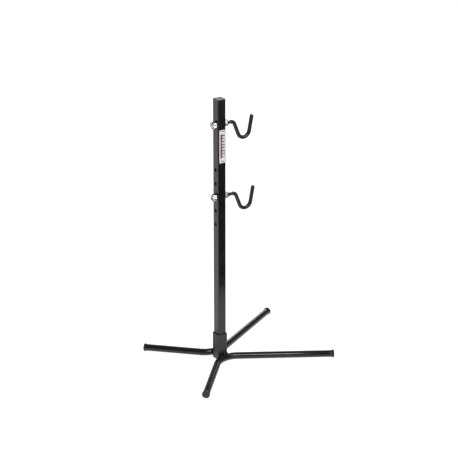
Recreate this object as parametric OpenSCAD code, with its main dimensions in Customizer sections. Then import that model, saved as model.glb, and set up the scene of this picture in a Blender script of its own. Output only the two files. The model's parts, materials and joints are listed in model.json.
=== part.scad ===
// Rear-stay repair stand: a square post carries two swivelling hooks and stands
// in a socket between two bent leg tubes.
// Origin: on the floor under the axis of the post. +Z up, +Y towards the hooks.

/* [Post] */
// Height from the floor to the top of the post cap
stand_h = 630; // [480:1:800]
// Outer width of the square post
post_w = 20; // [17:0.5:30]
// Wall of the post
post_wall = 1.5; // [1:0.1:3]
// Outer corner radius of the post
post_corner_r = 1; // [0.8:0.1:3]
// Distance from the top of the cap down to the upper stud
upper_hole_drop = 58; // [40:1:90]
// Distance from the top of the cap down to the first hole of the row
row_drop = 161; // [140:1:220]
// Distance from one hole of the row to the next
row_pitch = 32; // [24:1:45]
// Number of holes in the row
row_count = 5; // [3:1:7]
// Hole of the row that carries the lower hook, counted from the top
lower_hole = 3; // [1:1:5]

/* [Post cap] */
// Thickness of the cap's flange
cap_flange_t = 1.6; // [1:0.1:4]
// How far the flange stands out past the post
cap_lip = 0.4; // [0:0.1:1]
// Depth of the cap's plug inside the post
cap_plug_h = 14; // [6:1:25]
// Wall of the cap's plug
cap_plug_wall = 1.8; // [1:0.1:3]
// Number of grip ribs on the plug
cap_rib_count = 3; // [1:1:5]

/* [Scale plate] */
// Width of the scale plate
plate_w = 14.6; // [8:0.1:16]
// Length of the scale plate
plate_l = 75; // [40:1:90]
// Thickness of the scale plate
plate_t = 0.2; // [0.1:0.05:0.6]
// Sideways shift of the scale plate on its face
plate_shift = 1; // [-1.5:0.1:1.5]
// Distance from the top of the cap down to the scale plate
plate_drop = 69; // [60:1:80]

/* [Socket] */
// Height of the socket's top edge above the floor
socket_top_z = 70; // [50:1:110]
// Height of the socket's bottom edge above the floor
socket_bottom_z = 6; // [2:0.5:8]
// Wall of the socket
socket_wall = 2; // [1:0.1:3]
// Outer corner radius of the socket
socket_corner_r = 2; // [1:0.1:4]
// Clearance between the post and each wall of the socket
socket_gap = 0.5; // [0.1:0.05:0.8]
// Thickness of the plate that the post stands on
rest_plate_t = 2.5; // [1.5:0.5:5]

/* [Legs] */
// Outer diameter of the leg tubes
tube_d = 16; // [12:0.5:22]
// Wall of the leg tubes
tube_wall = 1.5; // [1:0.1:2.5]
// Bend radius at the centre line of a leg tube
bend_r = 52; // [35:1:70]
// Angle between the inner legs and the direction of the hooks
inner_splay = 28.7; // [20:0.1:40]
// Angle between the outer legs and the opposite direction
outer_splay = 46.6; // [35:0.1:60]
// Distance from the middle of the stand sideways to the end of each foot
foot_half_span = 135.2; // [100:0.1:180]
// Height of the tube's centre line where it is welded to the socket
weld_z = 13; // [11:0.1:24]
// Shift of the weld from the middle of the socket, towards the hooks
weld_shift = 6.2; // [-6:0.1:7]
// Radius of the weld beads
bead_r = 2.6; // [1.5:0.1:4]
// Depth to which a weld bead is fused into the tube and into the socket
bead_bite = 0.6; // [0.3:0.1:1]

/* [Feet] */
// How far the head of a foot cap stands out past its tube
foot_lip = 1; // [0.5:0.1:3]
// Length of the head of a foot cap
foot_head_l = 6; // [3:0.5:12]
// Rounding of the outer rim of a foot cap
foot_rim_r = 1.5; // [0.5:0.1:2.5]
// Length of the foot cap's stem inside the tube
foot_stem_l = 14; // [6:1:25]
// Wall of the foot cap's stem
foot_stem_wall = 1.6; // [1:0.1:3]
// How much the underside of a foot is flattened
foot_flat = 0.4; // [0.2:0.1:1]
// Radial clearance between a plug or stem and its tube
plug_gap = 0.1; // [0.05:0.05:0.3]

/* [Hooks] */
// Outer diameter of the stud's thread
stud_d = 8; // [6:0.1:10]
// Diameter of the bent rod
rod_d = 7.2; // [5:0.1:9]
// Wall of the soft sleeve on the rod
sleeve_wall = 0.85; // [0.5:0.05:2.5]
// Radial clearance between the sleeve and the rod
sleeve_gap = 0.05; // [0.02:0.01:0.1]
// Length of straight rod between the stop ring and the first bend
arm_free_l = 10.1; // [8.5:0.1:30]
// Length of thread past the stop ring
thread_free_l = 4.1; // [3.5:0.1:8]
// Radius of the first bend at the rod's centre line
shoulder_r = 10; // [7:0.5:20]
// Angle of the descending part below the horizontal
drop_angle = 68; // [50:1:80]
// Length of the straight descending part
drop_l = 26.8; // [15:0.1:50]
// Radius of the cradle bend at the rod's centre line
cradle_r = 15; // [10:0.5:25]
// Lean of the upright end away from the post
tip_lean = 11; // [0:1:25]
// Length of the straight upright end
tip_l = 33; // [15:0.5:60]
// How much further out the lower hook stands than the upper one
lower_reach = 4.5; // [-3:0.1:5]

/* [Hook hardware] */
// Outer diameter of the washers
washer_d = 16; // [14:0.5:20]
// Thickness of the washers
washer_t = 1.6; // [1:0.1:2.5]
// Radial clearance between a washer and the stud
washer_gap = 0.2; // [0.1:0.05:0.5]
// Radial clearance between the stud and its holes in the post
hole_gap = 0.1; // [0.02:0.01:0.1]
// Width across the flats of the lock nut
nut_flats = 13; // [12:0.5:17]
// Thickness of the lock nut
nut_t = 6.5; // [4:0.1:8]
// Radial clearance between the nuts and the stud
nut_gap = 0.05; // [0.02:0.01:0.1]
// Outer diameter of the rubber stop ring
ring_d = 14.5; // [11:0.5:18]
// Thickness of the rubber stop ring
ring_t = 1.8; // [1:0.1:3]
// Outer diameter of the hand nut
hand_nut_d = 18; // [17:0.5:30]
// Thickness of the hand nut
hand_nut_t = 7; // [5:0.5:12]
// Height of the hand nut's raised hub
hub_t = 1; // [0.5:0.1:3]
// Wall of the hand nut's hub round its bore
hub_wall = 1.2; // [0.8:0.1:2]
// Step between the hub and the pockets
hub_step = 0.3; // [0.1:0.05:0.5]
// Width of the hand nut's rim outside its pockets
rim_w = 1.4; // [1:0.1:2]
// Number of grip notches round the hand nut
notch_count = 9; // [6:3:15]
// Radius of a grip notch
notch_r = 1.4; // [0.8:0.1:1.8]
// Depth of a grip notch
notch_depth = 0.7; // [0.3:0.1:0.8]
// Depth of the hand nut's pockets
pocket_depth = 5; // [2:0.5:5.5]
// Width of the spokes between the pockets, as an angle
spoke_angle = 46; // [25:1:70]
// Turn of the upper hand nut's pockets
upper_nut_turn = 60; // [0:1:119]
// Turn of the lower hand nut's pockets
lower_nut_turn = 73; // [0:1:119]
// Length of stud that stands out past the upper hand nut
stud_out_l = 2.5; // [0.5:0.5:6]

/* [Hidden] */

$fn = 64;
// Overlap of a cutting shape past the face it cuts
cut = 1;
// A straight runs this far into the bend that it joins, and is this much thinner in radius
bend_overlap = 0.3;
bend_step = 0.03;

steel_paint = [0.13, 0.13, 0.14];
plated_steel = [0.78, 0.79, 0.8];
soft_black = [0.08, 0.08, 0.085];
plate_white = [0.93, 0.93, 0.92];

stud_hole_d = stud_d + 2 * hole_gap;
washer_hole_d = stud_d + 2 * washer_gap;
nut_bore_d = stud_d + 2 * nut_gap;
hub_d = nut_bore_d + 2 * hub_wall;
sleeve_d = rod_d + 2 * (sleeve_gap + sleeve_wall);
foot_d = tube_d + 2 * foot_lip;

post_face = post_w / 2;
socket_inner_w = post_w + 2 * socket_gap;
socket_w = socket_inner_w + 2 * socket_wall;
socket_face = socket_w / 2;
post_bottom_z = socket_bottom_z + rest_plate_t;
post_top_z = stand_h - cap_flange_t;
upper_stud_z = stand_h - upper_hole_drop;
lower_stud_z = stand_h - row_drop - (lower_hole - 1) * row_pitch;
row_z = [for (i = [0:row_count - 1]) stand_h - row_drop - i * row_pitch];

// The plane of each leg tube leans down from the weld to its two feet
foot_z = foot_d / 2 - foot_flat;
weld_x = socket_face + tube_d / 2;
leg_tilt = atan2(weld_z - foot_z, foot_half_span - weld_x);
foot_run = (foot_half_span - weld_x) / cos(leg_tilt);
inner_leg_l = (foot_run - bend_r * (1 - cos(inner_splay))) / sin(inner_splay);
outer_leg_l = (foot_run - bend_r * (1 - cos(outer_splay))) / sin(outer_splay);

// Stack of hardware outwards from each face of the post
lock_nut_y = post_face + washer_t;
stop_ring_y = lock_nut_y + nut_t;
hand_nut_y = post_face + washer_t;
stud_end_y = hand_nut_y + hand_nut_t + stud_out_l;

// A square with round corners, centred on the origin
module rounded_square(width, r) {
    for (turned = [0, 90]) rotate(turned) square([width, width - 2 * r], center = true);
    for (x = [-1, 1], y = [-1, 1])
        translate([x * (width / 2 - r), y * (width / 2 - r)]) circle(r);
}

module square_tube(width, wall, r, h) {
    linear_extrude(h) difference() {
        rounded_square(width, r);
        rounded_square(width - 2 * wall, max(r - wall, 0.4));
    }
}

// The straight of a bent round rod or tube, from the origin to length l, in the XY plane.
// It runs into a bend at its start, and at its end too where that is asked for.
module straight(r, l, direction, bend_after = false) {
    end_overlap = bend_after ? bend_overlap : 0;
    rotate([0, 0, direction]) rotate([0, 90, 0]) translate([0, 0, -bend_overlap])
        cylinder(h = bend_overlap + l + end_overlap, r = r - bend_step);
}

// A bend round the origin in the XY plane, from one angle to another
module bend(r, centre_line_r, from, to) {
    rotate([0, 0, from]) rotate_extrude(angle = to - from) translate([centre_line_r, 0]) circle(r);
}

// Turns +X into +Y and +Y into +Z, so that a hook can be drawn flat
module stand_up() {
    rotate([90, 0, 90]) children();
}

// A round piece on the stud's axis, from y = from outwards along +Y
module on_stud(from, z) {
    translate([0, from, z]) rotate([-90, 0, 0]) children();
}

// The same on the other face of the post, outwards along -Y
module on_stud_back(from, z) {
    translate([0, -from, z]) rotate([90, 0, 0]) children();
}

// ---- base ----

module base_socket() {
    color(steel_paint) translate([0, 0, socket_bottom_z])
        square_tube(socket_w, socket_wall, socket_corner_r, socket_top_z - socket_bottom_z);
}

module post_rest_plate() {
    color(steel_paint) translate([0, 0, socket_bottom_z])
        linear_extrude(rest_plate_t) rounded_square(socket_inner_w, post_corner_r);
}

// Puts a leg tube's plane in place on the +X side, with its origin at the weld
module leg_plane() {
    translate([weld_x, weld_shift, weld_z]) rotate([0, leg_tilt, 0]) children();
}

// The solid of a leg tube of this radius, flat in its plane
module leg_path(r, extra = 0) {
    translate([bend_r, 0, 0]) bend(r, bend_r, 180 - inner_splay, 180 + outer_splay);
    translate([bend_r * (1 - cos(inner_splay)), bend_r * sin(inner_splay), 0])
        straight(r, inner_leg_l - foot_head_l + extra, 90 - inner_splay);
    translate([bend_r * (1 - cos(outer_splay)), -bend_r * sin(outer_splay), 0])
        straight(r, outer_leg_l - foot_head_l + extra, outer_splay - 90);
}

module leg_tube() {
    color(steel_paint) leg_plane() difference() {
        leg_path(tube_d / 2);
        leg_path(tube_d / 2 - tube_wall, cut);
    }
}

module leg_tube_right() {
    leg_tube();
}

module leg_tube_left() {
    mirror([1, 0, 0]) leg_tube();
}

// A bead on top of each tube, in the groove between tube and socket
bead_x = socket_face + bead_r - bead_bite;
bead_rise = sqrt(pow(tube_d / 2 + bead_r - bead_bite, 2) - pow(weld_x - bead_x, 2));
// Length of a bead between its round ends, which stay this far inside the socket's face
bead_inset = 0.4;
bead_l = 2 * (socket_face - abs(weld_shift) - bead_r - bead_inset);

module weld_bead() {
    rotate([-90, 0, 0]) cylinder(h = bead_l, r = bead_r, center = true);
    for (end = [-1, 1]) translate([0, end * bead_l / 2, 0]) sphere(bead_r);
}

module base_welds() {
    color(steel_paint) for (side = [-1, 1])
        translate([side * bead_x, weld_shift, weld_z + bead_rise]) weld_bead();
}

// ---- feet ----

// A foot cap along +X, with the centre of its outer end at the origin
module foot_cap_shape() {
    rotate([0, 90, 0]) rotate_extrude() {
        translate([0, -foot_head_l]) square([foot_d / 2, foot_head_l - foot_rim_r]);
        translate([0, -foot_rim_r]) square([foot_d / 2 - foot_rim_r, foot_rim_r]);
        intersection() {
            translate([foot_d / 2 - foot_rim_r, -foot_rim_r]) circle(foot_rim_r);
            translate([0, -foot_rim_r]) square([foot_d / 2, foot_rim_r]);
        }
        translate([tube_d / 2 - tube_wall - plug_gap - foot_stem_wall, -foot_head_l - foot_stem_l])
            square([foot_stem_wall, foot_stem_l]);
    }
}

module foot_cap(outer) {
    splay = outer ? outer_splay : inner_splay;
    side = outer ? -1 : 1;
    leg_l = outer ? outer_leg_l : inner_leg_l;
    end_x = bend_r * (1 - cos(splay)) + leg_l * sin(splay);
    end_y = side * (bend_r * sin(splay) + leg_l * cos(splay));
    color(soft_black) difference() {
        leg_plane() translate([end_x, end_y, 0]) rotate([0, 0, side * (90 - splay)]) foot_cap_shape();
        translate([0, -foot_half_span * 2, -foot_d]) cube([foot_half_span * 2, foot_half_span * 6, foot_d]);
    }
}

module foot_cap_outer_right() {
    foot_cap(true);
}

module foot_cap_outer_left() {
    mirror([1, 0, 0]) foot_cap(true);
}

module foot_cap_inner_right() {
    foot_cap(false);
}

module foot_cap_inner_left() {
    mirror([1, 0, 0]) foot_cap(false);
}

// ---- post ----

module post_tube() {
    color(steel_paint) difference() {
        translate([0, 0, post_bottom_z])
            square_tube(post_w, post_wall, post_corner_r, post_top_z - post_bottom_z);
        for (z = concat([upper_stud_z], row_z))
            translate([0, 0, z]) rotate([90, 0, 0])
                cylinder(h = post_w + 2 * cut, d = stud_hole_d, center = true);
    }
}

module post_cap() {
    plug_w = post_w - 2 * post_wall - 2 * plug_gap;
    rib_t = 1;
    rib_inset = 0.4;
    stem_w = plug_w - 2 * rib_inset;
    plug_r = max(post_corner_r - post_wall, 0.4);
    color(soft_black) difference() {
        union() {
            translate([0, 0, post_top_z])
                linear_extrude(cap_flange_t) rounded_square(post_w + 2 * cap_lip, post_corner_r + cap_lip);
            translate([0, 0, post_top_z - cap_plug_h])
                linear_extrude(cap_plug_h) rounded_square(stem_w, plug_r);
            for (i = [1:cap_rib_count])
                translate([0, 0, post_top_z - cap_plug_h * i / (cap_rib_count + 1)])
                    linear_extrude(rib_t) rounded_square(plug_w, plug_r);
        }
        translate([0, 0, post_top_z - cap_plug_h - cut])
            linear_extrude(cap_plug_h + cut) rounded_square(stem_w - 2 * cap_plug_wall, plug_r);
    }
}

module scale_plate() {
    color(plate_white)
        translate([post_face, plate_shift - plate_w / 2, stand_h - plate_drop - plate_l])
            cube([plate_t, plate_w, plate_l]);
}

// ---- hooks ----

// Corners of the hook's path, flat: x outwards, y up, from the stud's axis at the post's axis
bend_start = [stop_ring_y + ring_t + arm_free_l, 0];
drop_start = bend_start + shoulder_r * [sin(drop_angle), cos(drop_angle) - 1];
drop_end = drop_start + drop_l * [cos(drop_angle), -sin(drop_angle)];
cradle_centre = drop_end + cradle_r * [sin(drop_angle), cos(drop_angle)];
tip_angle = 90 - tip_lean;
tip_start = cradle_centre + cradle_r * [sin(tip_angle), -cos(tip_angle)];

// The solid of a rod of this radius from the start of the first bend to this length of the tip
module hook_path(r, tip) {
    translate([bend_start.x, -shoulder_r]) bend(r, shoulder_r, 90 - drop_angle, 90);
    translate(drop_start) straight(r, drop_l, -drop_angle, true);
    translate(cradle_centre) bend(r, cradle_r, 270 - drop_angle, 270 + tip_angle);
    translate(tip_start) straight(r, tip, tip_angle);
}

module hook_rod(z, reach) {
    thread_end = stop_ring_y + ring_t + thread_free_l;
    color(steel_paint) translate([0, reach, z]) stand_up() {
        translate([-stud_end_y, 0]) rotate([0, 90, 0]) cylinder(h = stud_end_y + thread_end, d = stud_d);
        translate([thread_end, 0]) straight(rod_d / 2, bend_start.x - thread_end, 0, true);
        hook_path(rod_d / 2, tip_l);
    }
}

module hook_sleeve(z, reach) {
    tip_end = tip_start + tip_l * [cos(tip_angle), sin(tip_angle)];
    color(soft_black) translate([0, reach, z]) stand_up() difference() {
        union() {
            hook_path(sleeve_d / 2, tip_l);
            translate(tip_end) sphere(sleeve_d / 2);
        }
        hook_path(rod_d / 2 + sleeve_gap, tip_l + sleeve_gap);
    }
}

// ---- hardware on the studs ----

module washer() {
    difference() {
        cylinder(h = washer_t, d = washer_d);
        translate([0, 0, -cut]) cylinder(h = washer_t + 2 * cut, d = washer_hole_d);
    }
}

module lock_nut() {
    corner_r = nut_flats / 2 / cos(30);
    chamfer = (corner_r - nut_flats / 2) * tan(30);
    difference() {
        intersection() {
            linear_extrude(nut_t) circle(corner_r, $fn = 6);
            rotate_extrude() polygon([[0, 0], [nut_flats / 2, 0], [corner_r, chamfer],
                                      [corner_r, nut_t - chamfer], [nut_flats / 2, nut_t], [0, nut_t]]);
        }
        translate([0, 0, -cut]) cylinder(h = nut_t + 2 * cut, d = nut_bore_d);
    }
}

module stop_ring() {
    difference() {
        cylinder(h = ring_t, d = ring_d);
        translate([0, 0, -cut]) cylinder(h = ring_t + 2 * cut, d = nut_bore_d);
    }
}

// A hand nut with three pockets in its outer face and grip notches round its rim
module hand_nut(turn) {
    pocket_outer_r = hand_nut_d / 2 - rim_w;
    pocket_inner_r = hub_d / 2 + hub_step;
    pocket_arc = 120 - spoke_angle;
    difference() {
        union() {
            cylinder(h = hand_nut_t, d = hand_nut_d);
            cylinder(h = hand_nut_t + hub_t, d = hub_d);
        }
        translate([0, 0, -cut]) cylinder(h = hand_nut_t + hub_t + 2 * cut, d = nut_bore_d);
        for (i = [0:2])
            translate([0, 0, hand_nut_t - pocket_depth]) rotate([0, 0, turn - pocket_arc / 2 + i * 120])
                rotate_extrude(angle = pocket_arc) translate([pocket_inner_r, 0])
                    square([pocket_outer_r - pocket_inner_r, pocket_depth + cut]);
        for (i = [0:notch_count - 1])
            rotate([0, 0, turn + (i + 0.5) * 360 / notch_count])
                translate([hand_nut_d / 2 + notch_r - notch_depth, 0, -cut])
                    cylinder(h = hand_nut_t + 2 * cut, r = notch_r);
    }
}

module upper_hook_rod() {
    hook_rod(upper_stud_z, 0);
}

module upper_hook_sleeve() {
    hook_sleeve(upper_stud_z, 0);
}

module upper_lock_washer() {
    color(plated_steel) on_stud(post_face, upper_stud_z) washer();
}

module upper_lock_nut() {
    color(plated_steel) on_stud(lock_nut_y, upper_stud_z) lock_nut();
}

module upper_stop_ring() {
    color(soft_black) on_stud(stop_ring_y, upper_stud_z) stop_ring();
}

module upper_clamp_washer() {
    color(plated_steel) on_stud_back(post_face, upper_stud_z) washer();
}

module upper_hand_nut() {
    color(plated_steel) on_stud_back(hand_nut_y, upper_stud_z) hand_nut(upper_nut_turn);
}

module lower_hook_rod() {
    hook_rod(lower_stud_z, lower_reach);
}

module lower_hook_sleeve() {
    hook_sleeve(lower_stud_z, lower_reach);
}

module lower_lock_washer() {
    color(plated_steel) on_stud(post_face, lower_stud_z) washer();
}

module lower_lock_nut() {
    color(plated_steel) on_stud(lock_nut_y, lower_stud_z) lock_nut();
}

module lower_stop_ring() {
    color(soft_black) on_stud(stop_ring_y, lower_stud_z) stop_ring();
}

module lower_clamp_washer() {
    color(plated_steel) on_stud_back(post_face, lower_stud_z) washer();
}

module lower_hand_nut() {
    color(plated_steel) on_stud_back(hand_nut_y, lower_stud_z) hand_nut(lower_nut_turn);
}

base_socket();
post_rest_plate();
leg_tube_right();
leg_tube_left();
base_welds();
foot_cap_outer_right();
foot_cap_outer_left();
foot_cap_inner_right();
foot_cap_inner_left();
post_tube();
post_cap();
scale_plate();
upper_hook_rod();
upper_hook_sleeve();
upper_lock_washer();
upper_lock_nut();
upper_stop_ring();
upper_clamp_washer();
upper_hand_nut();
lower_hook_rod();
lower_hook_sleeve();
lower_lock_washer();
lower_lock_nut();
lower_stop_ring();
lower_clamp_washer();
lower_hand_nut();
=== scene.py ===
"""Looks of the rear-stay repair stand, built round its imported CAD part.

Metres, +Z up, +Y towards the hooks.
"""

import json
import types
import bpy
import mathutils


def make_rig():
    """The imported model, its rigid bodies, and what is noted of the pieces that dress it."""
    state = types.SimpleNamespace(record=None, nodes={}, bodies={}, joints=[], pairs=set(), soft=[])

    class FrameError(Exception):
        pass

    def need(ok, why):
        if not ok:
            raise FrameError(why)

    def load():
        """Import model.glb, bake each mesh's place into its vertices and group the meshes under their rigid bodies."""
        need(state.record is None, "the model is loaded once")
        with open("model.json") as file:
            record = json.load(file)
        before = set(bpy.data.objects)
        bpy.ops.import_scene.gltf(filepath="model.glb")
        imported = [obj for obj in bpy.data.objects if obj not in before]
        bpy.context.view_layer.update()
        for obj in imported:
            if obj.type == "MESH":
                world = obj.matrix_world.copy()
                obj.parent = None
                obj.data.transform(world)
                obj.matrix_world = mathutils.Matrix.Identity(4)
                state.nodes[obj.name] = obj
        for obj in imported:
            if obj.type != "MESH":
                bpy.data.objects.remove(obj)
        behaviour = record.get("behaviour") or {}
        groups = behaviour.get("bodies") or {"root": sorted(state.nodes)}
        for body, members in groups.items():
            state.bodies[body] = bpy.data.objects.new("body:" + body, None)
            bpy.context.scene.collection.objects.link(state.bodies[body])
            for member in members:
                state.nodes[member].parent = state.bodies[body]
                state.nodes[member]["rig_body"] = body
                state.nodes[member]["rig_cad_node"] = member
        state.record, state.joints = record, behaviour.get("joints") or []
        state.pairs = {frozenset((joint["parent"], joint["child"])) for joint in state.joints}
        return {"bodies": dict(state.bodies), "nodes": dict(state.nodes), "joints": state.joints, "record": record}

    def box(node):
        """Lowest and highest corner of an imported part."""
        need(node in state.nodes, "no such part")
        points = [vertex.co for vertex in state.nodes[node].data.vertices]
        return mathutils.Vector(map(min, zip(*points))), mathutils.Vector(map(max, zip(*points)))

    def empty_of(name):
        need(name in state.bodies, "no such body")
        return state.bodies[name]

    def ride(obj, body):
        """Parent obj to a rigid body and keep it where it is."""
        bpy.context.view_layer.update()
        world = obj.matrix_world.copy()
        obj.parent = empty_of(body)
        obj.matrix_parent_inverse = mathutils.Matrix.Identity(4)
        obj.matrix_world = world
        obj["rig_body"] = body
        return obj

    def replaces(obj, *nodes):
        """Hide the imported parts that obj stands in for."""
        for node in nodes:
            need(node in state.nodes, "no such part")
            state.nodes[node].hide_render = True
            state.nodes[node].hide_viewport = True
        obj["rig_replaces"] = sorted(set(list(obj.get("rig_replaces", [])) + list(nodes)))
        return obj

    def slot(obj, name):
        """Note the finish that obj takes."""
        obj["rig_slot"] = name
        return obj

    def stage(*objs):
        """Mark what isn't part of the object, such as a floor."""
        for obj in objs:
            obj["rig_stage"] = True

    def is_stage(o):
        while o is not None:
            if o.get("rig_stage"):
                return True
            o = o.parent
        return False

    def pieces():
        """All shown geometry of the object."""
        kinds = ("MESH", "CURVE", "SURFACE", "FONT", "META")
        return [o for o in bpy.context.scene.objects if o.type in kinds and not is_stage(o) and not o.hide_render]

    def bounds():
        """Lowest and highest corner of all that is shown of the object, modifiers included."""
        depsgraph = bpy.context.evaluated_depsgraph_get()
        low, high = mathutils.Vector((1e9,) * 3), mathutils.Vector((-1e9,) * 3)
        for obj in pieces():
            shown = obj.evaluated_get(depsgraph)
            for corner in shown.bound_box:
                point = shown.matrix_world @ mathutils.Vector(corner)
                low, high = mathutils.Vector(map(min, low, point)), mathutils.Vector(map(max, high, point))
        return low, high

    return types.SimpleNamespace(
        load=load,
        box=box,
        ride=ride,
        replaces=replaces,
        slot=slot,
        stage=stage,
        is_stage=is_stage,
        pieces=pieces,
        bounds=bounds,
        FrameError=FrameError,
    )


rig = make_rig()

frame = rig.load()

import json
from math import atan2, ceil, cos, degrees, pi, radians, sin, sqrt, tan

import bmesh
import bpy
import numpy as np
from mathutils import Matrix, Vector
from mathutils.bvhtree import BVHTree
from mathutils.geometry import delaunay_2d_cdt

cad_box = [list(corner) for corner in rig.bounds()]
MM = 0.001
# A round rim in steps: how far each point lies from the rim's top and from its side, for a radius of 1
RIM = [(1 - sin(radians(a)), 1 - cos(radians(a))) for a in (0, 22.5, 45, 67.5, 90)]


def put(name, data):
    """A new object in the scene."""
    made = bpy.data.objects.new(name, data)
    bpy.context.scene.collection.objects.link(made)
    return made


# ---- image points, in the photograph's frame ----

PHOTO_SIDE = 458
IMAGE_POINTS = {
    "left_x": 144.2,
    "top_y": 96.7,
    "bottom_y": 398.6,
    "cap_left": (212.7, 98.3),
    "cap_near": (218.3, 100.8),
    "cap_right": (225.8, 99.3),
    "upper_hand_nut": (214.05, 124.5),
    "lower_hand_nut": (214.5, 197.5),
    "upper_hook_tip": (251.2, 114.3),
    "lower_hook_tip": (252.5, 185.1),
    "first_row_hole": (215.9, 169.9),
    "last_row_hole": (215.8, 223.6),
    "red_block_top": (221.25, 134.4),
    "red_block_bottom": (221.25, 158.5),
    "socket_rim_left": (212.8, 332.1),
    "socket_rim_near": (219.3, 335.5),
    "socket_rim_right": (227.0, 333.2),
    "front_foot": (205.7, 395.0),
}

# ---- camera ----

CAMERA_LENS = 102.18
CAMERA_SENSOR = 36
CAMERA_TURN = radians(33.336)
CAMERA_TILT = radians(22.488)
CAMERA_DISTANCE = 2.67508
CAMERA_ASIDE = -0.021
CAMERA_HEIGHT = 1.43488


def aim(made, place, direction):
    """Puts a camera or a light at a place and turns it in a direction."""
    made.location = place
    made.rotation_mode = "QUATERNION"
    made.rotation_quaternion = direction.to_track_quat("-Z", "Y")


def make_camera():
    """The camera looks down on the stand from the side of its outer legs."""
    ahead = Vector((-cos(CAMERA_TURN), sin(CAMERA_TURN), 0))
    right = Vector((sin(CAMERA_TURN), cos(CAMERA_TURN), 0))
    data = bpy.data.cameras.new("camera")
    data.sensor_fit = "AUTO"
    data.sensor_width = CAMERA_SENSOR
    data.lens = CAMERA_LENS
    camera = put("camera", data)
    place = -ahead * CAMERA_DISTANCE - right * CAMERA_ASIDE + Vector((0, 0, CAMERA_HEIGHT))
    aim(camera, place, ahead * cos(CAMERA_TILT) - Vector((0, 0, sin(CAMERA_TILT))))
    bpy.context.scene.camera = camera
    bpy.context.view_layer.update()
    return camera


camera = make_camera()


def image_ray(x, y):
    """Direction of the ray through an image point, in the part's frame."""
    data = camera.data
    ray = Vector((x - PHOTO_SIDE / 2 + data.shift_x * PHOTO_SIDE,
                  PHOTO_SIDE / 2 - y + data.shift_y * PHOTO_SIDE,
                  -PHOTO_SIDE * data.lens / data.sensor_width))
    return (camera.matrix_world.to_3x3() @ ray).normalized()


def on_surface(name, carrier):
    """Where the ray through a named image point meets a piece, or the place on it nearest the ray."""
    tree = BVHTree.FromObject(carrier, bpy.context.evaluated_depsgraph_get())
    start = camera.matrix_world.translation
    ray = image_ray(*IMAGE_POINTS[name])
    hit = tree.ray_cast(start, ray)[0]
    if hit is not None:
        return hit
    corners = [carrier.matrix_world @ v.co for v in carrier.data.vertices]
    return min(corners, key=lambda corner: (corner - start).cross(ray).length)


def on_image(place):
    """Image point of a place in the part's frame."""
    seen = camera.matrix_world.inverted() @ place
    scale = PHOTO_SIDE * camera.data.lens / camera.data.sensor_width / -seen.z
    return (PHOTO_SIDE / 2 - camera.data.shift_x * PHOTO_SIDE + seen.x * scale,
            PHOTO_SIDE / 2 + camera.data.shift_y * PHOTO_SIDE - seen.y * scale)


# ---- finishes ----


class Finish:
    """A procedural material: one Principled shader, and helpers that add nodes in front of it."""

    def __init__(self, name, **fixed):
        self.material = bpy.data.materials.new(name)
        self.material.use_nodes = True
        self.tree = self.material.node_tree
        self.shader = self.tree.nodes["Principled BSDF"]
        for socket, value in fixed.items():
            self.shader.inputs[socket.replace("_", " ")].default_value = value
        self.place = self.add("ShaderNodeTexCoord").outputs["Object"]
        self.edge = self.add("ShaderNodeAttribute", {"attribute_name": "edge"}).outputs["Fac"]

    def add(self, kind, settings=None, inputs=None):
        node = self.tree.nodes.new(kind)
        for key, value in (settings or {}).items():
            setattr(node, key, value)
        for key, value in (inputs or {}).items():
            if isinstance(value, bpy.types.NodeSocket):
                self.tree.links.new(value, node.inputs[key])
            else:
                node.inputs[key].default_value = value
        return node

    def noise(self, size, low, high, detail=3.0, stretch=(1, 1, 1), contrast=(0.3, 0.7)):
        """Cloudy noise of this feature size in metres, spread from low to high."""
        scaled = self.add("ShaderNodeMapping", inputs={"Vector": self.place, "Scale": stretch})
        cloud = self.add("ShaderNodeTexNoise", inputs={
            "Vector": scaled.outputs["Vector"], "Scale": 1 / size, "Detail": detail})
        return self.add("ShaderNodeMapRange", inputs={
            "Value": cloud.outputs["Fac"], "From Min": contrast[0], "From Max": contrast[1],
            "To Min": low, "To Max": high}).outputs["Result"]

    def times(self, a, b):
        return self.add("ShaderNodeMath", {"operation": "MULTIPLY"}, {0: a, 1: b}).outputs[0]

    def blend(self, share, a, b):
        """Colour a where share is 0, and b where it is 1."""
        return self.add("ShaderNodeMix", {"data_type": "RGBA"}, {0: share, 6: a, 7: b}).outputs[2]

    def blend_value(self, share, a, b):
        return self.add("ShaderNodeMix", {"data_type": "FLOAT"}, {0: share, 2: a, 3: b}).outputs[0]

    def relief(self, size, depth, strength, **noise):
        """Adds cloudy relief of this feature size and depth in metres on top of any relief so far."""
        inputs = {"Height": self.noise(size, 0, 1, **noise), "Distance": depth, "Strength": strength}
        if self.shader.inputs["Normal"].links:
            inputs["Normal"] = self.shader.inputs["Normal"].links[0].from_socket
        self.feed("Normal", self.add("ShaderNodeBump", inputs=inputs).outputs["Normal"])

    def feed(self, socket, value):
        self.tree.links.new(value, self.shader.inputs[socket])

    def rough(self, cloud, level, more):
        self.feed("Roughness", self.blend_value(cloud, level, level + more))


def grey(level, warmth=0.0):
    """A linear grey, a little warmer or cooler."""
    return (level * (1 + warmth), level, level * (1 - warmth), 1)


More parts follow.
